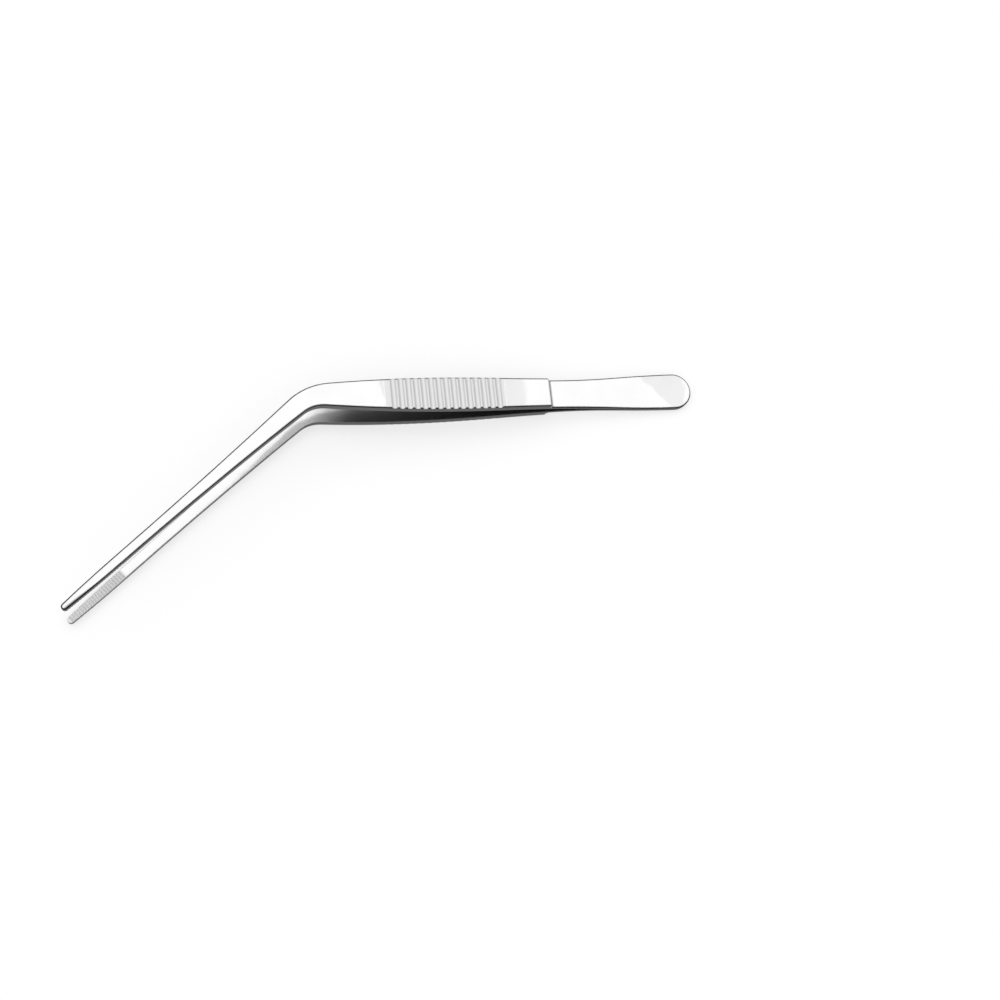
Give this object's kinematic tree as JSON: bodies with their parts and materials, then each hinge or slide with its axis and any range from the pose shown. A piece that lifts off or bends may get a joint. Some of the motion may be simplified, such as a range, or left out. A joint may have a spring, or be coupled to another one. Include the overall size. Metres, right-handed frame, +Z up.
{
  "type": "angled tweezers",
  "caption": "Spring tweezers of two mirrored steel blades, welded at the tail, with ridged grips, a knee bend and long tapering jaws toothed inside",
  "frame": {"origin": "centre of the bounding box in plan, on the surface that the part rests on", "axes": "+X along the handle towards its tail, the shank bending towards -X and -Y, +Z up as the part lies at rest on its lower blade"},
  "size_m": [0.1466, 0.05, 0.018],
  "materials": {
    "upper_steel": "polished",
    "lower_steel": "polished"
  },
  "bodies": {
    "root": {"upper_blade": "upper_steel", "lower_blade": "lower_steel"}
  },
  "joints": []
}
